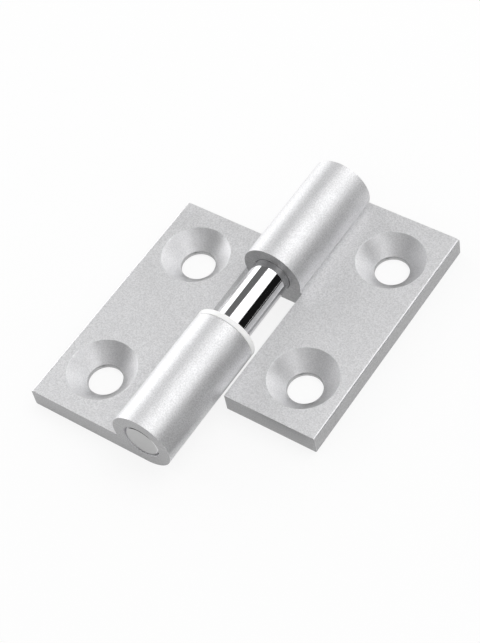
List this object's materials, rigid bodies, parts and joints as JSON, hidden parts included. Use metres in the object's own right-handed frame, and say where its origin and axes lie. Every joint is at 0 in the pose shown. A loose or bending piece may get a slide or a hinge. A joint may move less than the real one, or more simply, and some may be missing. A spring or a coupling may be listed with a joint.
{
  "type": "lift-off cabinet hinge",
  "caption": "Aluminium lift-off hinge with countersunk screw holes. One leaf holds a steel pin and a resin washer, and the other turns on the pin and slides off it.",
  "frame": {"origin": "bottom centre of the opened hinge as shown, with the lift-off leaf slid 12.8 mm along the pin", "axes": "+Y along the pin towards the end that the right leaf lifts off, +Z out of the countersunk faces, +X towards the right leaf"},
  "size_m": [0.0406, 0.0528, 0.0098],
  "materials": {
    "aluminium": "satin anodised",
    "pin_steel": "polished stainless steel",
    "white_resin": "smooth white resin"
  },
  "bodies": {
    "pin_leaf": {"left_leaf": "aluminium", "hinge_pin": "pin_steel"},
    "loose_washer": {"washer": "white_resin"},
    "lift_off_leaf": {"right_leaf": "aluminium"}
  },
  "joints": [
    {"name": "swing", "type": "hinge", "parent": "pin_leaf", "child": "loose_washer", "pos_m": [0, -0.0056, 0.0049], "axis": [0, -1, 0], "range_deg": [-90, 188]},
    {"name": "lift_off", "type": "slide", "parent": "loose_washer", "child": "lift_off_leaf", "axis": [0, 1, 0], "range_m": [-0.012, 0.028]}
  ]
}
